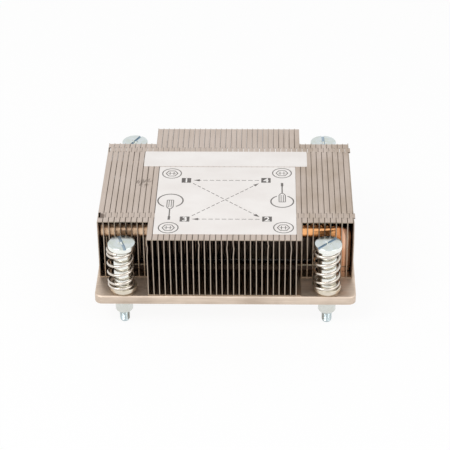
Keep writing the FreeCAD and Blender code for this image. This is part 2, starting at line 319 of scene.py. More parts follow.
def linear(code: str) -> tuple:
    """Turn an sRGB hex value into Blender's linear colour.

    Args:
        code: Six hex digits.

    Returns:
        Red, green, blue and 1.
    """
    parts = [int(code[i:i + 2], 16) / 255 for i in (0, 2, 4)]
    return tuple(part / 12.92 if part <= 0.04045 else ((part + 0.055) / 1.055) ** 2.4
                 for part in parts) + (1.0,)


def add_node(tree: Tree, kind: str, sockets: dict | None = None, **settings: object) -> Node:
    """Add a node with its settings, values and links.

    Args:
        tree: The node tree.
        kind: The node's type without its "ShaderNode" start.
        sockets: Values or linked outputs by input name or number.
        settings: The node's own properties.

    Returns:
        The node.
    """
    node = tree.nodes.new("ShaderNode" + kind)
    for key, value in settings.items():
        setattr(node, key, value)
    for key, value in (sockets or {}).items():
        if isinstance(value, Socket):
            tree.links.new(value, node.inputs[key])
        else:
            node.inputs[key].default_value = value
    return node


@dataclass
class Wiring:
    """A material's nodes while they are put together."""

    tree: Tree
    place: Socket
    shader: Node

    def add(self, kind: str, sockets: dict, **settings: object) -> Socket:
        """Add a node and return its first output."""
        return add_node(self.tree, kind, sockets, **settings).outputs[0]

    def link(self, name: str, value: Socket) -> None:
        """Wire an output to one of the shader's inputs."""
        self.tree.links.new(value, self.shader.inputs[name])

    def axis(self, number: int) -> Socket:
        """Return one of the Object coordinates, in metres."""
        return add_node(self.tree, "SeparateXYZ", {0: self.place}).outputs[number]

    def attribute(self, name: str) -> Socket:
        """Return one of the mesh's own attributes."""
        return add_node(self.tree, "Attribute", attribute_name=name).outputs["Fac"]

    def math(self, operation: str, first: object, second: object = 0.0) -> Socket:
        """Return what an operation makes of one or two values."""
        return self.add("Math", {0: first, 1: second}, operation=operation)

    def ramp(self, value: Socket, start: float, end: float, low: float = 0.0, high: float = 1.0) -> Socket:
        """Return a value spread from start..end to low..high and held beyond them."""
        return self.add("MapRange", {"Value": value, "From Min": start, "From Max": end,
                                     "To Min": low, "To Max": high})

    def along(self, value: Socket, start: float, end: float, low: float = 0.0, high: float = 1.0) -> Socket:
        """Return a coordinate spread from start..end in millimetres to low..high."""
        return self.ramp(value, start * MM, end * MM, low, high)

    def spread(self, value: Socket, low: float, high: float) -> Socket:
        """Return a value of 0..1 spread to low..high."""
        return self.ramp(value, 0.0, 1.0, low, high)

    def mix(self, share: Socket, first: object, second: object) -> Socket:
        """Return a mix of two colours, each a hex value or an output; share is the second's."""
        pair = [linear(colour) if isinstance(colour, str) else colour for colour in (first, second)]
        return add_node(self.tree, "Mix", {0: share, 6: pair[0], 7: pair[1]}, data_type="RGBA").outputs[2]

    def mapped(self, size: tuple, centre: tuple = (0.0, 0.0, 0.0), turn: float = 0.0) -> Socket:
        """Return coordinates with a spot's size as their unit.

        Args:
            size: The unit along X, Y and Z in millimetres.
            centre: Their origin in millimetres.
            turn: How far the pattern is first turned about Z, in radians.

        Returns:
            The coordinates.
        """
        place = self.add("Mapping", {"Vector": self.place, "Rotation": (0, 0, turn)}) if turn else self.place
        return self.add("Mapping", {"Vector": place, "Scale": [1 / (side * MM) for side in size],
                                    "Location": [-spot / side for spot, side in zip(centre, size)]})

    def pattern(self, across: tuple, detail: float = 3.0, turn: float = 0.0) -> Socket:
        """Return a noise of 0..1 with spots of a size in millimetres along X, Y and Z."""
        place = self.mapped(across, turn=turn)
        return self.ramp(self.add("TexNoise", {"Vector": place, "Scale": 1.0, "Detail": detail}), 0.3, 0.7)

    def blot(self, centre: tuple, size: tuple) -> Socket:
        """Return a soft ball, 1 in its centre and 0 at its edge, by its half axes in millimetres."""
        near = self.mapped(size, centre)
        return add_node(self.tree, "TexGradient", {"Vector": near}, gradient_type="SPHERICAL").outputs["Fac"]

    def dent(self, height: Socket, depth: float) -> None:
        """Let a height of 0..1 dent the surface by a depth in millimetres."""
        self.link("Normal", self.add("Bump", {"Height": height, "Distance": depth * MM, "Strength": 1.0}))

    def grain(self, size: float, low: float, high: float) -> None:
        """Vary the roughness from low to high over spots of a size in millimetres."""
        self.link("Roughness", self.spread(self.pattern((size, size, size)), low, high))


@dataclass(frozen=True)
class Finish:
    """What each finish has: its name, its colour in daylight and its gloss."""

    name: str
    colour: str
    roughness: float = 0.3
    metallic: float = 1.0

    def dress(self, wires: Wiring) -> None:
        """Set the shader's patterns; a plain finish has a fine grain only."""
        wires.grain(0.5, self.roughness - 0.06, self.roughness + 0.06)


@functools.cache
def material_of(finish: Finish) -> bpy.types.Material:
    """Return the material of a finish, made once.

    Args:
        finish: The finish.

    Returns:
        Its material.
    """
    material = bpy.data.materials.new(finish.name)
    material.use_nodes = True
    tree = material.node_tree
    shader = tree.nodes["Principled BSDF"]
    shader.inputs["Base Color"].default_value = linear(finish.colour)
    shader.inputs["Metallic"].default_value = finish.metallic
    shader.inputs["Roughness"].default_value = finish.roughness
    finish.dress(Wiring(tree, add_node(tree, "TexCoord").outputs["Object"], shader))
    return material


@dataclass(frozen=True)
class NickelSheet(Finish):
    """Nickel-plated rolled sheet: a warm grey sheen with fine lines along the fins.

    Old soldering residue and dust make it browner in patches, more so on the right, and in the seams it is
    darkened by dirt and painted shade.
    Between the plates the sheet gets painted shade, where its own shade attribute says.
    """

    shade: str = "outer_shade"
    stain: str = "A8957F"
    old_x: tuple = (18.0, 38.0)
    line: str = "6E6258"
    # Dirt and painted shade in the seams
    seam: str = "94816F"
    # Painted shade between the plates
    channel_shade: str = "A08F80"
    scraped: str = "5A4E46"
    scuff: tuple = (-33.8, -0.6, 29.5)
    scuff_size: tuple = (6.0, 6.5, 10.0)
    dirt: str = "4A382C"
    dirt_spot: tuple = (-48.9, -26.6, 29.5)
    dirt_size: tuple = (2.2, 2.6, 4.0)

    def dress(self, wires: Wiring) -> None:
        """Set rolling lines, stains, a scuff, a dirty notch, dirt and painted shade in the seams, and painted
        shade between the plates.

        Args:
            wires: The material's nodes.
        """
        lines = wires.pattern((0.35, 18.0, 2.0), 4.0)
        patches = wires.pattern((9.0, 14.0, 9.0), 4.0)
        older = wires.along(wires.axis(0), *self.old_x, 0.22, 0.6)
        tone = wires.mix(wires.math("MULTIPLY", patches, older), self.colour, self.stain)
        tone = wires.mix(wires.spread(lines, 0.0, 0.16), tone, self.line)
        streaks = wires.pattern((0.7, 2.8, 3.0), 2.0, turn=0.3)
        scraped = wires.math("MULTIPLY", wires.blot(self.scuff, self.scuff_size), streaks)
        tone = wires.mix(wires.ramp(scraped, 0.22, 0.5, 0.0, 0.62), tone, self.scraped)
        dirty = wires.ramp(wires.blot(self.dirt_spot, self.dirt_size), 0.1, 0.5, 0.0, 0.75)
        tone = wires.mix(dirty, tone, self.dirt)
        # Dirt and painted shade in the seams, then painted shade between the plates, as the mesh's attributes
        # say
        for attribute, dark in (("seam", self.seam), (self.shade, self.channel_shade)):
            tone = wires.mix(wires.attribute(attribute), tone, dark)
        wires.link("Base Color", tone)
        wires.link("Roughness", wires.spread(lines, self.roughness, self.roughness + 0.16))
        wires.dent(lines, 0.006)


@dataclass(frozen=True)
class CutNickel(Finish):
    """The sheet's cut edge: brightest under the top fold, speckled, dirty round the tabs."""

    low: str = "BFB09F"
    speck: str = "6E6052"
    dirt: str = "6A5A4C"
    low_z: float = 17.0
    high_z: float = 23.0

    def dress(self, wires: Wiring) -> None:
        """Set the change of tone with height, speckles, and the tabs' dirt.

        Args:
            wires: The material's nodes.
        """
        share = wires.along(wires.axis(2), self.low_z, self.high_z)
        tone = wires.mix(share, self.low, self.colour)
        tone = wires.mix(wires.spread(wires.pattern((1.5, 1.5, 0.9)), 0.0, 0.35), tone, self.speck)
        wires.link("Base Color", wires.mix(wires.attribute("hooked"), tone, self.dirt))
        wires.grain(0.6, self.roughness - 0.08, self.roughness + 0.08)


@dataclass(frozen=True)
class BrushedNickel(Finish):
    """Nickel-plated copper, ground before plating: fine lines along X and stains."""

    stain: str = "9C8775"
    line: str = "5E5248"

    def dress(self, wires: Wiring) -> None:
        """Set grinding lines and stains.

        Args:
            wires: The material's nodes.
        """
        lines = wires.pattern((16.0, 0.22, 0.22), 5.0)
        patches = wires.pattern((11.0, 6.0, 6.0), 5.0)
        tone = wires.mix(wires.spread(patches, 0.0, 0.4), self.colour, self.stain)
        wires.link("Base Color", wires.mix(wires.spread(lines, 0.0, 0.24), tone, self.line))
        wires.link("Roughness", wires.spread(lines, self.roughness - 0.06, self.roughness + 0.14))
        wires.dent(lines, 0.008)


@dataclass(frozen=True)
class TarnishedCopper(Finish):
    """Drawn copper pipe: dulled to tan on the left, bright on the right; painted shade and a painted
    highlight at the bend.

    The run that is soldered into the base plate gets painted shade, fading out up the leg, and one
    thin painted highlight along it.
    """

    tan: str = "FFE0C0"
    # Tarnish spots, and painted shade just before the bend
    tarnish_and_shade: str = "CC8454"
    # Painted highlight on the bend
    pale: str = "FFDCC4"
    # Painted shade on the run in the base plate
    low_run_shade: str = "2E241E"
    # Painted highlight along that run
    low_run_highlight: str = "827A6A"
    half_width: float = 50.0
    # Where that run's painted shade fades out along X and Z, and the height and edges of its painted
    # highlight
    low_shade_x: tuple = (46.0, 42.0)
    low_shade_z: tuple = (12.5, 8.5)
    highlight_z: float = 6.4
    highlight_edge: tuple = (0.22, 0.13)

    def dress(self, wires: Wiring) -> None:
        """Set the change of colour and gloss along the pipe, tarnished spots, painted shade and painted
        highlights.

        Args:
            wires: The material's nodes.
        """
        across, up = wires.axis(0), wires.axis(2)
        share = wires.along(across, -self.half_width, self.half_width)
        ramp = add_node(wires.tree, "ValToRGB", {0: share})
        # The darker stop just before the bend is painted shade, the pale stop on the bend a painted highlight
        stops = ((0.0, self.tan), (0.52, self.tan), (0.78, self.colour), (0.915, self.colour),
                 (0.955, self.tarnish_and_shade), (0.975, self.pale))
        for position, _ in stops[1:-1]:
            ramp.color_ramp.elements.new(position)
        for stop, (position, code) in zip(ramp.color_ramp.elements, stops):
            stop.position, stop.color = position, linear(code)
        ramp.color_ramp.elements[-1].position = stops[-1][0]
        spots = wires.spread(wires.pattern((7.0, 3.5, 3.5), 2.0), 0.0, 0.14)
        tone = wires.mix(spots, ramp.outputs[0], self.tarnish_and_shade)
        # Painted shade on the run in the base plate, fading out up the leg
        low_run_shaded = wires.math("MULTIPLY", wires.along(up, *self.low_shade_z), wires.along(across, *self.low_shade_x))
        tone = wires.mix(low_run_shaded, tone, self.low_run_shade)
        # A thin painted highlight along that run
        away = wires.math("ABSOLUTE", wires.math("SUBTRACT", up, self.highlight_z * MM))
        wires.link("Base Color", wires.mix(wires.along(away, *self.highlight_edge), tone, self.low_run_highlight))
        wires.link("Roughness", wires.spread(share, self.roughness + 0.26, self.roughness))


@dataclass(frozen=True)
class ZincPlate(Finish):
    """Zinc-plated turned steel: bluish white, glossy, with turning marks round the axis."""

    tint: str = "C9CFC2"

    def dress(self, wires: Wiring) -> None:
        """Set turning marks and a faint cast in patches.

        Args:
            wires: The material's nodes.
        """
        marks = wires.pattern((6.0, 6.0, 0.18), 2.0)
        cast = wires.spread(wires.pattern((2.4, 2.4, 2.4)), 0.0, 0.7)
        wires.link("Base Color", wires.mix(cast, self.colour, self.tint))
        wires.link("Roughness", wires.spread(marks, self.roughness - 0.04, self.roughness + 0.1))
        wires.dent(marks, 0.004)


@dataclass(frozen=True)
class LabelPaper(Finish):
    """Coated label paper: matt off-white that shows the fin seams under it as faint waves."""

    cloud: str = "E6DFDB"
    pitch: float = 2.2222

    def dress(self, wires: Wiring) -> None:
        """Set the fins' waves and a faint cloudiness.

        Args:
            wires: The material's nodes.
        """
        clouds = wires.spread(wires.pattern((14.0, 9.0, 9.0), 2.0), 0.0, 0.5)
        wires.link("Base Color", wires.mix(clouds, self.colour, self.cloud))
        size = math.pi / (10 * self.pitch * MM)
        waves = add_node(wires.tree, "TexWave", {"Vector": wires.place, "Scale": size}, bands_direction="X")
        wires.dent(waves.outputs["Fac"], 0.01)


@dataclass(frozen=True)
class PrintInk(Finish):
    """Printed ink: flat grey, slightly uneven as thermal print is."""

    worn: str = "B8B2AE"

    def dress(self, wires: Wiring) -> None:
        """Set the unevenness of the print.

        Args:
            wires: The material's nodes.
        """
        dots = wires.spread(wires.pattern((0.5, 0.5, 0.5), 2.0), 0.0, 0.35)
        wires.link("Base Color", wires.mix(dots, self.colour, self.worn))


# Warm grey sheen of the folds, with rolling lines, and its copy for the channel between plates; both carry
# painted shade between the plates
NICKEL_SHEET = NickelSheet("nickel_plated_sheet", "D2C4BA", 0.26)
NICKEL_CHANNEL = NickelSheet("nickel_sheet_with_painted_shade", "D0C2B4", 0.3, shade="inner_shade")
# Thin pale lines of the plates' cut edges
NICKEL_CUT = CutNickel("nickel_cut_edge", "BEAF9F", 0.34)
# Satin beige of the ground base plate
NICKEL_BASE = BrushedNickel("brushed_nickel_on_copper", "ECDBCA", 0.5)
# Orange glow between the plates on the right, tan on the left, with painted shade and painted highlights at
# the bend and on the lower run
COPPER = TarnishedCopper("tarnished_copper_pipe", "FFBC80", 0.12)
# Bluish heads, whiter turned barrels, greyer noses and threads, and painted shade in the slots as darker,
# slate-blue zinc
ZINC = ZincPlate("zinc_plated_steel", "D6DEE2", 0.17)
TURNED_ZINC = ZincPlate("zinc_plated_turned_steel", "FAFBF8", 0.14, tint="F0F2EA")
THREAD_ZINC = ZincPlate("zinc_plated_thread", "C4D0D4", 0.24, tint="B4C0C0")
NOSE_ZINC = ZincPlate("zinc_plated_nose", "DCDEDA", 0.2, tint="D0D2CA")
# Darker, bluer zinc in the slots: painted shade
SHADED_SLOT_ZINC = ZincPlate("zinc_with_painted_shade_in_slots", "AEBECA", 0.36, tint="9DAEBB")
# Bright wire with dull cut ends, and creamy rings under it
WIRE = Finish("nickel_plated_spring_wire", "D8D0C6", 0.2)
WIRE_END = Finish("cut_spring_wire_end", "6E675F", 0.5)
RING = ZincPlate("passivated_ring_steel", "E4DBCC", 0.3, tint="D8CFBC")
# Matt white paper with worn grey print
PAPER = LabelPaper("coated_label_paper", "F4F0ED", 0.55, 0.0)
INK = PrintInk("grey_print", "56524F", 0.6, 0.0)
DARK_INK = PrintInk("dark_print", "3A3634", 0.6, 0.0)
CLEAR_INK = Finish("paper_white_digits", "F4F1EE", 0.6, 0.0)


# Sub-assemblies

@dataclass
class FinStack:
    """Plates folded at top and foot, which hook into each other with dovetail tabs."""

    steps: int = 45
    side_fins: int = 9
    thick: float = 0.35
    bend: float = 0.2
    height: float = 25.8
    ear: float = 0.8
    row: float = 26.0
    tab_half: float = 1.5
    tab_flare: float = 0.4
    tab_reach: float = 0.95
    notch_gap: float = 0.08
    slot_y: float = 24.0
    slot_half: float = 3.05
    slot_centre: float = 18.0
    short: float = 31.0
    fold_gap: float = 0.06
    blend_low: float = 21.9
    blend_high: float = 24.4
    shade_depth: float = 0.08
    wave: float = 0.045
    bulge: float = 0.05
    crease: float = 0.3
    crease_z: float = 23.2
    crease_share: float = 0.28

    def __post_init__(self) -> None:
        """Draw the random waviness of every seam and plate once, and work out the folds' width."""
        chance = np.random.default_rng(SEED)
        self.seams = chance.uniform(-1, 1, (self.steps + 1, 2, 6))
        self.plates = chance.uniform(-1, 1, (self.steps + 1, 6))
        self.dents = chance.uniform(0, 1, (self.steps + 1, 4))
        self.fold_w = (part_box("left_fin_02")[0].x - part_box("left_fin_01")[0].x) / MM - self.fold_gap
        self.notch = self.tab_half + self.notch_gap

    def seam(self, step: int, top: bool, y: np.ndarray) -> np.ndarray:
        """Return how far a seam wanders sideways: a sum of three slow sine waves of Y.

        Args:
            step: The seam's number from the left.
            top: Whether it is the seam of the top folds, not of the feet.
            y: Places along the fins.

        Returns:
            The shift along X in millimetres.
        """
        draw = self.seams[step, int(top)]
        turns = [draw[k] * np.sin(y / (9.0 + 8.0 * k) + 3.1 * draw[k + 3]) for k in range(3)]
        return self.wave * sum(turns) / 2

    def section(self) -> tuple:
        """Return the middle line of the sheet's section, foot edge first.

        Both bends are quarter circles round (0.5, 0.5) from the plate's outer faces; the line
        goes along the foot, up the plate and out along the top fold, and then on as the tab.

        Returns:
            Arrays of x and z, and the numbers of the rows where the plate starts and ends.
        """
        half, out = self.thick / 2, self.thick / 2 + self.bend
        fold = self.fold_w
        turn = np.radians([240.0, 210.0])
        foot_x = np.array([fold, 1.3, out])
        plate_z = np.array([out, 4.0, 8.5, 13.0, self.slot_centre, self.blend_low, self.crease_z,
                            self.blend_high, self.height - out])
        top_x = np.array([out, self.tab_reach + self.notch_gap, 1.6, fold, fold + self.tab_reach])
        x = np.concatenate([foot_x, out + self.bend * np.cos(turn), np.full(len(plate_z), half),
                            out + self.bend * np.cos(turn[::-1]), top_x])
        z = np.concatenate([np.full(3, half), out + self.bend * np.sin(turn), plate_z,
                            self.height - out - self.bend * np.sin(turn[::-1]),
                            np.full(len(top_x), self.height - half)])
        return x, z, 5, 5 + len(plate_z) - 1

    def stations(self, reach: float) -> tuple:
        """Return the lines along the sheet: where each lies low down and at the top fold.

        Args:
            reach: Half the fin's depth.

        Returns:
            Low places, top places, how each line flares along the notch and along the tab,
            and for both sides the numbers of the first line of the slot.
        """
        slot = self.slot_y + self.slot_half * np.array([-1, -0.87, -0.5, 0, 0.5, 0.87, 1])
        tab = np.array([21.6, 22.9, self.row - self.notch, self.row - self.tab_half,
                        self.row + self.tab_half, self.row + self.notch, 28.7])
        into, on = self.tab_flare * np.array([[0, 0, -1, 0, 0, 1, 0], [0, 0, 0, -1, 1, 0, 0]])
        middle = np.array([-17.0, -12.0, -6.0, 0.0, 6.0, 12.0, 17.0])
        beyond = np.array([32.0, 35.0, 38.5, 41.5]) if reach > self.short else np.array([])
        front = np.concatenate([[reach, reach - 0.5, reach - 1.4], beyond[::-1], [29.4]])
        rear = np.concatenate([[29.4], beyond, [reach, reach + self.ear]])
        places = [np.concatenate([-front, -line[::-1], middle, line, rear]) for line in (slot, tab)]
        flares = [np.concatenate([0 * front, -line[::-1], 0 * middle, line, 0 * rear])
                  for line in (into, on)]
        first = len(front)
        return *places, *flares, (first, first + len(slot) + len(middle))

    def sheet(self, step: int, left: float, foot: float, reach: float) -> tuple:
        """Work out one folded fin's middle surface.

        The first fin has no slots, because no light shows through it.

        The point at section row s and line t is (left + x(s) + w, y(s, t), foot + z(s)): y goes
        from the low line to the top line over the plate's upper part, and w blends the seams'
        wandering at both sides of the fin with a bulge of the plate.

        Args:
            step: The fin's number from the left.
            left: The plate's outer face.
            foot: The underside of the foot.
            reach: Half the folds' depth.

        Returns:
            The points, the faces and the attributes by name.
        """
        x, z, plate_low, plate_high = self.section()
        low, top, into, on, slots = self.stations(reach)
        rows, lines = len(x), len(low)
        across = x[:, None]
        rise = smooth_step(self.blend_low, self.blend_high, z)[:, None]
        upper = np.arange(rows)[:, None] > plate_high - 2
        y = low * (1 - rise) + top * rise
        y = y + upper * into * np.clip(across / self.tab_reach, 0, 1)
        y = y + upper * on * np.clip((across - self.fold_w) / self.tab_reach, 0, 1)
        height = np.repeat(z[:, None], lines, axis=1)
        slot_row = plate_low + 4
        arch = np.sqrt(np.clip(self.slot_half ** 2 - (np.abs(y[slot_row]) - self.slot_y) ** 2, 0, None))
        height[slot_row] += arch
        height[plate_high, -1] += self.bend
        side = np.clip(across / self.fold_w, 0, 1)
        high = z[:, None] / self.height
        near, far = (self.seam(number, True, y) * high + self.seam(number, False, y) * (1 - high)
                     for number in (step, step + 1))
        shift = near * (1 - side) + far * side
        draw = self.plates[step]
        belly = np.sin(math.pi * high) * (draw[0] * np.sin(y / 7 + 3 * draw[1]) +
                                          draw[2] * np.sin(5 * high + 2 * draw[3]))
        edge = np.exp(-(y + reach) / 6)
        dent = self.dents[step]
        creased = dent[0] > 1 - self.crease_share and reach > self.short + 1
        crease = np.exp(-((z[:, None] - self.crease_z + 1.2 * dent[1]) / 0.9) ** 2) * edge * creased
        on_plate = np.abs(across - self.thick / 2) < 1e-6
        shift = shift + on_plate * (self.bulge * belly * (0.35 + 0.65 * edge) +
                                    self.crease * crease * (1 if dent[2] > 0.4 else -1))
        points = np.stack([left + across + shift, y, foot + height], axis=-1)
        row, line = np.meshgrid(np.arange(rows - 1), np.arange(lines - 1), indexing="ij")
        keep = np.ones((rows - 1, lines - 1), bool)
        folded = (row < plate_low) | (row >= plate_high)
        keep &= ~(folded & (line == lines - 2))
        for start in slots if step else ():
            keep &= ~((row < slot_row) & (line >= start) & (line < start + 6))
        tab_lines, notch_lines = np.zeros((2, lines - 1), bool)
        for start in (slots[0] + 1, slots[1] + 2):
            tab_lines[start + 1] = True
            notch_lines[start:start + 3] = True
        keep &= (row != rows - 2) | tab_lines
        keep &= ~((row >= plate_high) & (row < rows - 4) & notch_lines)
        faces = grid_faces(rows, lines)[keep.ravel(), ::-1]
        return points.reshape(-1, 3), faces, self.shades(step, reach, z, y, plate_high)

    def shades(self, step: int, reach: float, z: np.ndarray, y: np.ndarray, plate_high: int) -> dict:
        """Say where the sheet is darkened: painted shade between the plates, dirt and painted shade in the
        seams, and dirt round the tabs.

        Beside the front pipe the short fins' plates get almost no painted shade, so that the pipe there looks
        lit.

        Args:
            step: The fin's number from the left.
            reach: Half the fin's depth.
            z: The section's height by row.
            y: The points' y by row and line.
            plate_high: The plate's last row.

        Returns:
            The attributes by name, one value a point.
        """
        row = np.arange(len(z))[:, None]
        # Painted shade everywhere but at the very ends of the fin
        inside = smooth_step(0.0, self.shade_depth, reach - np.abs(y))
        walled = np.abs(y) < self.short
        # Beside the front pipe the short fins get almost no painted shade, from the pipe's height up on most
        # of them and at any height on the last three
        if reach < self.short + 1:
            lit = smooth_step(14.5, 18.0, z)[:, None] if step < self.steps - 3 else 1.0
            inside = inside * (1 - 0.95 * lit * smooth_step(20.9, 23.0, -y))
        # No painted shade on the top folds' outer faces nor on the first fin's outer face
        outer = inside * (row <= plate_high) * (step > 0)
        # Less painted shade where the first and last centre fins stand open beyond the short fins
        if step == self.side_fins:
            outer = outer * np.where(walled, 1.0, 0.3)
        inner = inside * np.where(walled | (step != self.steps - self.side_fins - 1), 1.0, 0.3)
        last = len(z) - 2
        # Dirt and painted shade in the seams of the top bends and at the folds' free edges
        seam = np.zeros_like(y)
        for which, amount in ((plate_high, 1.0), (plate_high + 1, 0.9), (plate_high + 2, 0.5),
                              (plate_high + 3, 0.0), (last, 0.15), (last + 1, 0.1)):
            seam[which] = amount
        if step == 0:
            seam[plate_high:plate_high + 3] = 0.15
        hooked = (row > plate_high) * smooth_step(0.8, 1.6, reach - np.abs(y))
        return {"outer_shade": outer, "inner_shade": inner, "seam": seam, "hooked": hooked}

    def build(self) -> list:
        """Build every fin and the end plate.

        Returns:
            The pieces.
        """
        names = [f"left_fin_{i:02d}" for i in range(1, self.side_fins + 1)]
        names += [f"centre_fin_{i:02d}" for i in range(1, self.steps - 2 * self.side_fins + 1)]
        names += [f"right_fin_{i:02d}" for i in range(1, self.side_fins + 1)]
        pieces = []
        for step, name in enumerate(names):
            low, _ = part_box(name)
            points, faces, shades = self.sheet(step, low.x / MM, low.z / MM, -low.y / MM)
            pieces.append(self.finish(name + "_sheet", name, points, faces, shades))
        pieces.append(self.end_plate())
        return pieces

    def finish(self, name: str, node: str, points: Points, faces: Faces, shades: dict) -> Piece:
        """Give a fin's middle surface its thickness and finish.

        Args:
            name: The piece's name.
            node: The CAD node it stands for.
            points: The middle surface's points.
            faces: Its faces.
            shades: Its attributes by name.

        Returns:
            The piece.
        """
        piece = make_piece(name, points, faces, [NICKEL_SHEET, NICKEL_CHANNEL, NICKEL_CUT],
                           STACK, (node,))
        for key, values in shades.items():
            attribute = piece.data.attributes.new(key, "FLOAT", "POINT")
            attribute.data.foreach_set("value", np.asarray(values, np.float32).ravel())
        with reworked(piece) as work:
            loose = [vertex for vertex in work.verts if not vertex.link_faces]
            bmesh.ops.delete(work, geom=loose, context="VERTS")
        modify(piece, "SOLIDIFY", thickness=self.thick * MM, offset=0.0, use_even_offset=True,
               material_offset=1, material_offset_rim=2)
        return settle(piece, 40)

    def end_plate(self) -> Piece:
        """Build the flat plate that closes the stack on the right, its front edge bent outwards.

        The point at height h and place y is (x + bend, y, h), where bend grows towards the front.

        Returns:
            The piece.
        """
        low, high = box_of("end_plate")
        notch = self.tab_half + self.tab_flare + 0.06
        y = np.array([low[1], low[1] + 0.5, low[1] + 2, -self.row - notch, -self.row + notch, -20, -10,
                      0, 10, 20, self.row - notch, self.row + notch, high[1] - 0.5, high[1]])
        z = np.append(np.linspace(low[2], high[2] - self.thick, 9), high[2])
        tall, wide = np.meshgrid(z, y, indexing="ij")
        rise = (tall - low[2]) / (high[2] - low[2])
        out = 0.3 * np.exp(-(wide - low[1]) / 5) * np.sin(math.pi * rise * 0.8)
        out = out + self.seam(self.steps, True, wide) * 0.6
        points = np.stack([(low[0] + high[0]) / 2 + out, wide, tall], axis=-1)
        # Painted shade on the end plate's inner face, none at its ends nor beside the front pipe
        inside = smooth_step(0.0, self.shade_depth, self.short - np.abs(wide))
        inside = inside * (1 - smooth_step(20.9, 23.0, -wide))
        shades = {"outer_shade": np.zeros_like(wide), "inner_shade": inside,
                  "seam": np.zeros_like(wide), "hooked": np.zeros_like(wide)}
        keep = np.ones((len(z) - 1, len(y) - 1), bool)
        keep[-1, [3, 10]] = False
        faces = grid_faces(len(z), len(y))[keep.ravel()]
        return self.finish("end_plate_sheet", "end_plate", points.reshape(-1, 3), faces, shades)


@dataclass
class BasePlate:
    """The plated copper plate under the fins, its edges softened."""

    softened: float = 0.1

    def build(self) -> list:
        """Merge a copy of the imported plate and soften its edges.

        Returns:
            The piece, in a list.
        """
        points, faces = mesh_parts(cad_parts["base_plate"].data)
        piece = make_piece("ground_base_plate", points / MM, faces, [NICKEL_BASE], STACK,
                           ("base_plate",))
        with reworked(piece) as work:
            bmesh.ops.remove_doubles(work, verts=work.verts, dist=1e-6)
            bmesh.ops.dissolve_limit(work, angle_limit=math.radians(1), verts=work.verts, edges=work.edges)
        modify(piece, "BEVEL", width=self.softened * MM, segments=2, limit_method="ANGLE",
               angle_limit=math.radians(30))
        return [settle(piece, 25)]


@dataclass
class HeatPipes:
    """Two copper pipes bent into a U: one run in the base plate, one high in the fins."""

    diameter: float = 6.0
    low_z: float = 4.1
    high_z: float = 21.7
    outer_x: float = 49.6
    bend: float = 4.0
    sides: int = 28
    bend_steps: int = 12
    end_round: float = 0.6
    squareness: float = 0.45
    corner_fill: float = 1.2

    def __post_init__(self) -> None:
        """Work out where the runs end and the bends begin."""
        self.turn_x = self.outer_x - self.diameter / 2 - self.bend

    def route(self) -> Points:
        """Return the pipe's middle line in X and Z: a run, a quarter bend, a leg and back.

        Returns:
            Rows of x, z and the share of the full radius, which falls at the rounded ends.
        """
        turn = np.radians(np.linspace(90, 0, self.bend_steps + 1))
        lift = np.radians(np.linspace(0, 85, 7))
        ends = self.end_round * (1 - np.sin(lift))[::-1] - self.outer_x
        shrink = 1 - self.end_round / (self.diameter / 2) * (1 - np.cos(lift))[::-1]
        run = np.linspace(self.end_round + 4 - self.outer_x, self.turn_x - 4, 12)
        x = np.concatenate([ends, run, self.turn_x + self.bend * np.cos(turn)])
        drop = np.concatenate([np.zeros(len(ends) + len(run)), self.bend * (1 - np.sin(turn))])
        full = np.concatenate([shrink, np.ones(len(run) + len(turn))])
        upper = np.stack([x, self.high_z - drop, full], axis=1)
        lower = np.stack([x, self.low_z + drop, full], axis=1)
        return np.concatenate([upper, lower[::-1]])

    def build(self) -> list:
        """Sweep a circle along each pipe's route.

        The point at step p and angle a is the route's point plus radius times (cos a along
        the bend's outward side in the X-Z plane, sin a along Y). In the bends and the leg both
        are raised to a power below 1, which flattens the pipe as pressing does, and the outside
        of each bend is pressed a little into its corner.

        Returns:
            The pieces.
        """
        line = self.route()
        ahead = np.gradient(line[:, :2], axis=0)
        ahead /= np.linalg.norm(ahead, axis=1, keepdims=True)
        straight = line[:, 0] < self.turn_x + 0.01
        ahead[straight] = np.sign(ahead[straight, :1]) * [1, 0]
        out = np.stack([-ahead[:, 1], ahead[:, 0]], axis=1)
        radius = (self.diameter / 2 * line[:, 2])[:, None]
        power = 1 - self.squareness * smooth_step(self.turn_x - 2, self.turn_x + 1, line[:, :1])
        angle = np.arange(self.sides) * 2 * math.pi / self.sides
        round_out, round_y = (np.sign(wave) * np.abs(wave) ** power
                              for wave in (np.cos(angle), np.sin(angle)))
        fill = self.corner_fill * 4 * (out[:, :1] * out[:, 1:]) ** 2
        away = radius * round_out + fill * np.clip(round_out, 0, None)
        points = np.stack([line[:, :1] + out[:, :1] * away, radius * round_y,
                           line[:, 1:2] + out[:, 1:] * away], axis=-1).reshape(-1, 3)
        pieces = []
        for side in ("front", "rear"):
            node = "heat_pipe_" + side
            low, high = box_of(node)
            piece = make_piece("round_pipe_" + side, points + [0, (low[1] + high[1]) / 2, 0],
                               turned_faces(len(line), self.sides), [COPPER], STACK, (node,))
            outwards(piece)
            pieces.append(piece)
        return pieces


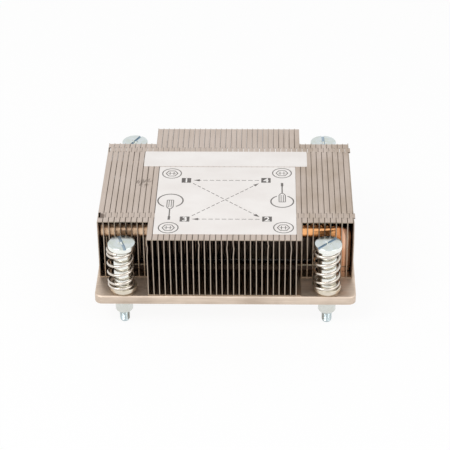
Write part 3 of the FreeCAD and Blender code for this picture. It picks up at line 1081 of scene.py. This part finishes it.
@dataclass
class CaptiveScrews:
    """The four spring-loaded screws with their springs and flanged rings."""

    pitch: float = 80.0
    head_d: float = 10.8
    head_t: float = 2.1
    head_top: float = 25.8
    rim: float = 0.55
    slot_w: float = 1.15
    slot_depth: float = 0.55
    cross_l: float = 4.0
    cross_w: float = 0.85
    cross_depth: float = 1.1
    barrel_d: float = 6.9
    barrel_low: float = -4.9
    nose: float = 1.4
    clip_d: float = 9.6
    clip_t: float = 0.7
    clip_z: float = 0.2
    stud_d: float = 4.0
    thread: float = 0.7
    thread_depth: float = 0.36
    tip: float = -10.4
    ring_low: float = 3.7
    hub_t: float = 1.05
    ring_top: float = 6.35
    ring_d: float = 10.6
    hub_d: float = 8.4
    hole_d: float = 7.3
    spring_d: float = 10.8
    wire_d: float = 1.1
    wire_sides: int = 12
    turns: float = 5.25
    closed: float = 0.875
    turn_points: int = 44
    soft: float = 0.06
    play: float = 0.02
    travel: float = 3.5

    def centre(self, corner: Corner) -> tuple:
        """Return a screw's axis in X and Y."""
        return corner.value[1] * self.pitch / 2, corner.value[2] * self.pitch / 2

    def screw_points(self, sides: int = 64) -> tuple:
        """Work out the screw as rings of radius and height, with a ridge wound round the stud.

        The stud's radius at height z and angle a is its full radius less the thread's depth
        times the distance of z / pitch - a / full turn from a ridge, fading at both ends.

        Args:
            sides: Points round the axis.

        Returns:
            The points and the faces, about an axis at the origin.
        """
        stud, barrel = self.stud_d / 2, self.barrel_d / 2
        shoulder = self.barrel_low - self.nose
        ridge = np.arange(self.tip + 0.35, shoulder - 0.2, self.thread / 8)
        below = rounded([(0.6, self.tip, 0), (stud - 0.45, self.tip, 0)])
        above = rounded([
            (stud - 0.25, shoulder - 0.15, 0), (stud, shoulder, 0), (barrel, self.barrel_low, 0.3),
            (barrel, self.clip_z - self.clip_t - 0.02, 0), (self.clip_d / 2, self.clip_z - self.clip_t, 0.15),
            (self.clip_d / 2, self.clip_z - 0.02, 0.15), (barrel, self.clip_z, 0),
            (barrel, self.head_top - self.head_t, 0),
            (self.head_d / 2, self.head_top - self.head_t, 0.25),
            (self.head_d / 2, self.head_top, self.rim), (1.2, self.head_top, 0)])
        profile = np.concatenate([below, np.stack([np.full(len(ridge), stud), ridge], axis=1), above])
        angle = np.arange(sides) * 2 * math.pi / sides
        radius = np.repeat(profile[:, :1], sides, axis=1)
        rows = slice(len(below), len(below) + len(ridge))
        phase = (ridge[:, None] / self.thread - angle / (2 * math.pi)) % 1
        fade = smooth_step(self.tip + 0.2, self.tip + 1.0, ridge) * \
            smooth_step(shoulder - 0.1, shoulder - 0.6, ridge)
        groove = np.abs(phase - 0.5) * 2
        radius[rows] -= self.thread_depth * (groove * fade[:, None] + (1 - fade[:, None]) * 0.7)
        points = np.stack([radius * np.cos(angle), radius * np.sin(angle),
                           np.repeat(profile[:, 1:], sides, axis=1)], axis=-1)
        return points.reshape(-1, 3), turned_faces(len(profile), sides)

    def recess(self, turn: float, centre: tuple) -> Piece:
        """Make the cutter of the head's slot and cross: a box and two boxes that taper downwards.

        Args:
            turn: The slot's direction in degrees.
            centre: The screw's axis.

        Returns:
            A scratch object, to be removed after the cut.
        """
        wide, long = self.slot_w / 2, self.head_d / 2 + 1
        arm = self.cross_w / 2
        # The slot's faces take the zinc with painted shade; the cross's take the whiter turned zinc
        cells = ((long, wide, self.slot_depth, 1, 1.0), (self.cross_l / 2, arm, self.cross_depth, 2, 0.4),
                 (arm, self.cross_l / 2, self.cross_depth, 2, 0.4))
        work = bmesh.new()
        spin = Matrix.Translation((*centre, 0)) @ Matrix.Rotation(math.radians(turn), 4, "Z")
        for half_x, half_y, depth, finish, taper in cells:
            shape = Matrix.Diagonal((2 * half_x, 2 * half_y, 2 * depth, 1))
            lift = Matrix.Translation((0, 0, self.head_top))
            made = bmesh.ops.create_cube(work, size=1)["verts"]
            for vertex in made:
                if vertex.co.z < 0:
                    vertex.co.xy *= taper
            bmesh.ops.transform(work, matrix=spin @ lift @ shape, verts=made)
            for face in {face for vertex in made for face in vertex.link_faces}:
                face.material_index = finish
        mesh = bpy.data.meshes.new("recess")
        for finish in (ZINC, SHADED_SLOT_ZINC, TURNED_ZINC):
            mesh.materials.append(material_of(finish))
        bmesh.ops.scale(work, vec=(MM, MM, MM), verts=work.verts)
        work.to_mesh(mesh)
        work.free()
        return placed("recess", mesh)

    def screw(self, corner: Corner) -> Piece:
        """Build one screw.

        Args:
            corner: Which screw.

        Returns:
            The piece.
        """
        name, _, _, turn, _, _ = corner.value
        x, y = self.centre(corner)
        points, faces = self.screw_points()
        piece = make_piece("turned_screw_" + name, points + [x, y, 0], faces,
                           [ZINC, SHADED_SLOT_ZINC, TURNED_ZINC, THREAD_ZINC, NOSE_ZINC], "screw_" + name,
                           ("screw_" + name,))
        level = points[np.array([face[0] for face in faces]), 2]
        tone = np.select([level < self.barrel_low - self.nose, level < self.clip_z,
                          level < self.head_top - 0.4], [3, 4, 2], 0)
        piece.data.polygons.foreach_set("material_index", tone.astype(np.int32))
        cutter = self.recess(turn, (x, y))
        modify(piece, "BOOLEAN", operation="DIFFERENCE", object=cutter, solver="EXACT", use_self=True)
        settle(piece, 32)
        bpy.data.objects.remove(cutter)
        return piece

    def spring(self, corner: Corner) -> Piece:
        """Wind one spring.

        The wire's middle at turn t is centre + (R cos a, R sin a, z(t)); z rises by a wire's
        width a turn over the closed turns at both ends and evenly in between. The wire's
        circle lies across the path.

        Args:
            corner: Which screw's spring.

        Returns:
            The piece.
        """
        name, _, _, _, start, shift = corner.value
        x, y = self.centre(corner)
        low = self.ring_top + self.wire_d / 2 + self.play
        high = self.head_top - self.head_t - self.wire_d / 2 - self.play
        lay = self.wire_d + self.play
        open_turns = self.turns - 2 * self.closed
        steep = (high - low - 2 * self.closed * lay) / open_turns
        turn = np.linspace(0, self.turns, int(self.turns * self.turn_points) + 1)
        opened, shut = (np.clip((turn - change + self.soft) / (2 * self.soft), 0, 1)
                        for change in (self.closed, self.turns - self.closed))
        rate = lay + (steep - lay) * (opened - shut)
        height = np.concatenate([[0], np.cumsum((rate[1:] + rate[:-1]) / 2 * np.diff(turn))])
        height = low + height * (high - low) / height[-1]
        angle = math.radians(start) + 2 * math.pi * turn
        radius = (self.spring_d - self.wire_d) / 2
        middle = np.stack([x + shift[0] + radius * np.cos(angle), y + shift[1] + radius * np.sin(angle),
                           height], axis=1)
        ahead = np.gradient(middle, axis=0)
        ahead /= np.linalg.norm(ahead, axis=1, keepdims=True)
        out = np.stack([np.cos(angle), np.sin(angle), 0 * angle], axis=1)
        up = np.cross(out, ahead)
        round_wire = np.arange(self.wire_sides) * 2 * math.pi / self.wire_sides
        points = middle[:, None] + self.wire_d / 2 * (
            out[:, None] * np.cos(round_wire)[:, None] - up[:, None] * np.sin(round_wire)[:, None])
        faces = turned_faces(len(turn), self.wire_sides)
        piece = make_piece("wound_spring_" + name, points.reshape(-1, 3), faces, [WIRE, WIRE_END],
                           "plunger_" + name, ("spring_" + name,))
        cut_ends = np.array([len(face) for face in faces]) > 4
        piece.data.polygons.foreach_set("material_index", cut_ends.astype(np.int32))
        outwards(piece)
        piece.data.set_sharp_from_angle(angle=math.radians(60))
        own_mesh(piece)
        return piece

    def ring(self, corner: Corner) -> Piece:
        """Turn one flanged ring, its bore open.

        Args:
            corner: Which screw's ring.

        Returns:
            The piece.
        """
        flange, hub, bore = self.ring_d / 2, self.hub_d / 2, self.hole_d / 2
        loop = rounded([(bore, self.ring_low, 0.1), (hub, self.ring_low, 0.1),
                        (hub, self.ring_low + self.hub_t, 0.1),
                        (flange, self.ring_low + self.hub_t, 0.2), (flange, self.ring_top, 0.3),
                        (bore, self.ring_top, 0.2)], 3)
        sides = 56
        points = turned(loop, sides, self.centre(corner))
        rows = len(loop)
        cells = grid_faces(rows + 1, sides, ring=True) % (rows * sides)
        piece = make_piece("flanged_ring_" + corner.value[0], points, cells.tolist(), [RING], STACK,
                           ("spring_rings",))
        outwards(piece)
        piece.data.set_sharp_from_angle(angle=math.radians(40))
        return piece

    def build(self) -> list:
        """Build every screw, spring and ring.

        Returns:
            The pieces.
        """
        return [part(corner) for corner in Corner for part in (self.screw, self.spring, self.ring)]


@dataclass
class Stickers:
    """The bare strip and the fitting guide: thin paper with a printed screw plan.

    Flat places and outlines are complex numbers, x + iy in millimetres.
    """

    paper_t: float = 0.1
    ink_t: float = 0.008
    corner: float = 0.5
    pen: float = 0.44
    ring_r: float = 3.82
    hexagon_r: float = 2.4
    turn_pen: float = 0.56
    turn_gap: float = 28.0
    thin_pen: float = 0.34
    dash: float = 1.8
    dash_pitch: float = 2.6
    arrow_half: float = 0.8
    block_w: float = 3.8
    block_h: float = 3.7
    digit_size: float = 4.4
    digit_bold: float = 0.1

    def sheet(self, node: str, name: str) -> Piece:
        """Cut one sticker: a rectangle with rounded corners.

        Args:
            node: The CAD node it stands for.
            name: The piece's name.

        Returns:
            The piece.
        """
        low, high = box_of(node)
        middle, half = (low + high)[:2] / 2, (high - low)[:2] / 2 - self.corner
        quarter = self.corner * np.exp(1j * np.radians(np.arange(0, 91, 15)))
        ways = np.array([(1, 1), (-1, 1), (-1, -1), (1, -1)])
        outline = np.concatenate([complex(*(middle + half * way)) + quarter * 1j ** turn
                                  for turn, way in enumerate(ways)])
        return self.plate(name, [outline], low[2], self.paper_t, PAPER, (node,))

    def plate(self, name: str, outlines: list, low: float, thick: float, finish: Finish,
              replaced: tuple = ()) -> Piece:
        """Make one piece of flat closed outlines with a thickness.

        Args:
            name: The piece's name.
            outlines: Closed outlines, counter-clockwise.
            low: The underside.
            thick: The thickness.
            finish: Its finish.
            replaced: The CAD nodes it stands for.

        Returns:
            The piece.
        """
        points, faces, start = [], [], 0
        for line in outlines:
            count = len(line)
            for level in (low, low + thick):
                points.append(np.column_stack([line.real, line.imag, np.full(count, level)]))
            number = np.arange(count) + start
            after = np.roll(number, -1)
            faces += [number[::-1].tolist(), (number + count).tolist()]
            faces += np.stack([number, after, after + count, number + count], 1).tolist()
            start += 2 * count
        return make_piece(name, np.concatenate(points), faces, [finish], STACK, replaced,
                          smooth=False)

    def stroke(self, start: complex, end: complex, width: float) -> Points:
        """Return the four corners of a straight pen stroke."""
        aside = 1j * (end - start) / abs(end - start) * width / 2
        return np.array([start - aside, end - aside, end + aside, start + aside])

    def arc(self, centre: complex, radius: float, way: float, gap: float, width: float) -> list:
        """Return a pen stroke round a circle, as a row of quads.

        Args:
            centre: The circle's centre.
            radius: Its radius.
            way: The direction of its middle in degrees.
            gap: How much of the half circle is left out on either side, in degrees.
            width: The pen's width.

        Returns:
            The outlines.
        """
        ray = np.exp(1j * np.radians(np.linspace(way - 180 + gap, way + 180 - gap, 41)))
        inner, outer = centre + ray * (radius - width / 2), centre + ray * (radius + width / 2)
        return list(np.stack([inner[:-1], outer[:-1], outer[1:], inner[1:]], axis=1))

    def dashes(self, start: complex, end: complex) -> list:
        """Return a dashed line with an arrow head at its end.

        Args:
            start: Where it starts.
            end: Where it ends.

        Returns:
            The outlines.
        """
        length = abs(end - start)
        ahead = (end - start) / length
        neck, aside = end - ahead * self.dash_pitch, 1j * ahead * self.arrow_half
        lines = [self.stroke(start + ahead * place, start + ahead * (place + self.dash), self.thin_pen)
                 for place in np.arange(0, length - self.dash_pitch, self.dash_pitch)]
        return lines + [np.array([neck - aside, end, neck + aside])]

    def screw_sign(self, centre: complex) -> list:
        """Return a ring with a hexagon and a short bar with two posts, the sign of a screw head.

        Args:
            centre: Its centre.

        Returns:
            The outlines.
        """
        points = centre + self.hexagon_r * np.exp(1j * np.radians(np.arange(0, 360, 60)))
        lines = self.arc(centre, self.ring_r, 180, 0, self.pen)
        lines += [self.stroke(points[i], points[(i + 1) % 6], 0.4) for i in range(6)]
        return lines + [self.stroke(centre + start, centre + end, 0.28) for start, end in
                        ((-1.6, 1.6), (-0.8 - 1.3j, -0.8 + 1.3j), (0.8 - 1.3j, 0.8 + 1.3j))]

    def driver_sign(self, centre: complex, way: int) -> list:
        """Return an open circle with a screwdriver, the sign of turning.

        Args:
            centre: The circle's centre.
            way: 1 for a driver that points up, -1 for down.

        Returns:
            The outlines.
        """
        up, grip = 1j * way, 1.25
        top, neck, tip = (centre + up * far for far in (0.4, -6.2, -14.4))
        taper = neck + 1.4 * up
        handle = [top - grip, taper - grip, neck - 0.5, neck + 0.5, taper + grip, top + grip]
        lines = self.arc(centre, 4.75 + 0.25 * way, 90 * way, self.turn_gap, self.turn_pen)
        lines += [self.stroke(handle[i], handle[(i + 1) % 6], 0.36) for i in range(6)]
        lines += [self.stroke(top + side, neck + side + 1.2 * up, 0.3) for side in (-0.45, 0.45)]
        return lines + [self.stroke(neck, tip + 2.4 * up, 0.5), self.stroke(tip + 2.6 * up, tip, 0.95)]

    def digit(self, text: str, centre: complex) -> tuple:
        """Return the mesh of a digit.

        Args:
            text: The digit.
            centre: Its centre.

        Returns:
            The points in X and Y and the faces.
        """
        curve = bpy.data.curves.new("digit", "FONT")
        curve.body, curve.size, curve.offset = text, self.digit_size, self.digit_bold
        curve.align_x, curve.align_y = "CENTER", "CENTER"
        holder = placed("digit", curve)
        points, faces = mesh_parts(evaluated(holder))
        bpy.data.objects.remove(holder)
        spots = points[:, :2]
        spots = spots - (spots.max(0) + spots.min(0)) / 2
        return spots + (centre.real, centre.imag), faces

    def build(self) -> list:
        """Build the stickers and the guide's marks.

        Returns:
            The pieces.
        """
        pieces = [self.sheet("identification_sticker", "label_strip"),
                  self.sheet("fitting_guide_sticker", "guide_card")]
        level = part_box("fitting_guide_sticker")[0].z / MM + self.paper_t
        squares = {"1": -16.4 + 0.8j, "2": 16.3 - 28.8j, "3": -15.9 - 29.0j, "4": 15.8 + 1.0j}
        marks = [self.screw_sign(spot) for spot in (-22.0 - 35.4j, 22.7 - 35.1j, -22.5 + 6.3j, 22.3 + 6.8j)]
        marks += [self.driver_sign(-22.1 - 15.1j, 1), self.driver_sign(22.3 - 15.5j, -1)]
        marks += [self.dashes(13.0 + 0.9j, -13.6 + 0.9j), self.dashes(-13.6 - 1.6j, 13.4 - 27.4j),
                  self.dashes(13.4 - 29.0j, -13.2 - 29.0j), self.dashes(-13.2 - 26.6j, 13.0 - 1.4j)]
        blocks = [self.stroke(spot - self.block_w / 2, spot + self.block_w / 2, self.block_h)
                  for spot in squares.values()]
        pieces += [self.plate("guide_lines", sum(marks, []), level, self.ink_t, INK),
                   self.plate("guide_squares", blocks, level, self.ink_t, DARK_INK)]
        points, faces, start = [], [], 0
        for text, spot in squares.items():
            spots, cells = self.digit(text, spot)
            points.append(np.column_stack([spots, np.full(len(spots), level + self.ink_t + 0.003)]))
            faces += [[start + number for number in cell] for cell in cells]
            start += len(spots)
        return pieces + [make_piece("guide_digits", np.concatenate(points), faces, [CLEAR_INK], STACK,
                                    smooth=False)]


@dataclass
class Studio:
    """Camera, floor, world and lamps: a plain pale studio at the photograph's angle."""

    lens: float = 140.757
    elevation: float = 31.921
    yaw: float = 1.655
    roll: float = -0.671
    distance: float = 732.45
    target: tuple = (-1.209, 8.26, 3.7)
    floor_z: float = -10.4
    floor_half: float = 3000.0
    ambient: float = 0.68
    lamps: tuple = (("key", (-420, -380, 640), 420, 2.2), ("fill", (520, -420, 420), 500, 1.0))

    def camera(self) -> None:
        """Place the camera: back from the target along its line of sight, then rolled."""
        up_angle, turn, roll = (math.radians(a) for a in (self.elevation, self.yaw, self.roll))
        back = Vector((math.sin(turn) * math.cos(up_angle), -math.cos(turn) * math.cos(up_angle),
                       math.sin(up_angle)))
        right = Vector((math.cos(turn), math.sin(turn), 0))
        above = back.cross(right)
        across = right * math.cos(roll) + above * math.sin(roll)
        upward = above * math.cos(roll) - right * math.sin(roll)
        data = bpy.data.cameras.new("camera")
        data.lens, data.sensor_width = self.lens, 36.0
        camera = placed("camera", data)
        place = (Vector(self.target) + back * self.distance) * MM
        camera.matrix_world = Matrix.Translation(place) @ Matrix((across, upward, back)).transposed().to_4x4()
        bpy.context.scene.camera = camera

    def seen(self, tree: Tree) -> Socket:
        """Return 1 for rays from the camera and for rays that metal or glass sends on.

        Args:
            tree: The nodes of the world or of the floor.

        Returns:
            The output.
        """
        path = add_node(tree, "LightPath").outputs
        first = add_node(tree, "Math", {0: path["Is Camera Ray"], 1: path["Is Glossy Ray"]},
                         operation="MAXIMUM").outputs[0]
        return add_node(tree, "Math", {0: first, 1: path["Is Transmission Ray"]},
                        operation="MAXIMUM").outputs[0]

    def world(self) -> None:
        """Make the world white where it is seen and plainer where it lights."""
        world = bpy.data.worlds.new("studio")
        world.use_nodes = True
        tree = world.node_tree
        strength = add_node(tree, "MapRange", {"Value": self.seen(tree), "To Min": self.ambient})
        light = tree.nodes["Background"]
        light.inputs["Color"].default_value = (1, 1, 1, 1)
        tree.links.new(strength.outputs[0], light.inputs["Strength"])
        bpy.context.scene.world = world

    def floor(self) -> None:
        """Lay a pale floor that keeps a soft shadow."""
        mesh = bpy.data.meshes.new("floor")
        corners = self.floor_half * np.array([(-1, -1), (1, -1), (1, 1), (-1, 1)])
        mesh.from_pydata((np.column_stack([corners, np.full(4, self.floor_z)]) * MM).tolist(), [],
                         [(0, 1, 2, 3)])
        floor = placed("floor", mesh)
        material = bpy.data.materials.new("pale_floor")
        material.use_nodes = True
        tree = material.node_tree
        tree.nodes.remove(tree.nodes["Principled BSDF"])
        matt = add_node(tree, "BsdfDiffuse", {"Color": linear("FAFAFA")})
        glow = add_node(tree, "Emission", {"Color": (1, 1, 1, 1), "Strength": 1.0})
        share = add_node(tree, "Math", {0: self.seen(tree), 1: 0.9}, operation="MULTIPLY")
        mixed = add_node(tree, "MixShader", {0: share.outputs[0], 1: matt.outputs[0], 2: glow.outputs[0]})
        tree.links.new(mixed.outputs[0], tree.nodes["Material Output"].inputs["Surface"])
        mesh.materials.append(material)

    def lamp(self, name: str, place: tuple, size: float, power: float) -> None:
        """Hang a square lamp that faces the object.

        Args:
            name: The lamp's name.
            place: Where it hangs, in millimetres.
            size: Its side in millimetres.
            power: Its power in watts.
        """
        data = bpy.data.lights.new(name, "AREA")
        data.size, data.energy = size * MM, power
        lamp = placed(name, data)
        spot = Vector(place) * MM
        lamp.matrix_world = Matrix.Translation(spot) @ spot.to_track_quat("Z", "Y").to_matrix().to_4x4()

    def build(self) -> None:
        """Set up the whole studio."""
        self.camera()
        self.world()
        self.floor()
        for lamp in self.lamps:
            self.lamp(*lamp)
        bpy.context.scene.view_settings.view_transform = "Standard"


def main() -> None:
    """Build the studio and every sub-assembly."""
    Studio().build()
    for part in (BasePlate(), HeatPipes(), FinStack(), CaptiveScrews(), Stickers()):
        for piece in part.build():
            LOG.info("%s: %s with %d faces", type(part).__name__, piece.name, len(piece.data.polygons))


if __name__ == "__main__":
    logging.basicConfig(level=logging.INFO, format="%(message)s")
    main()
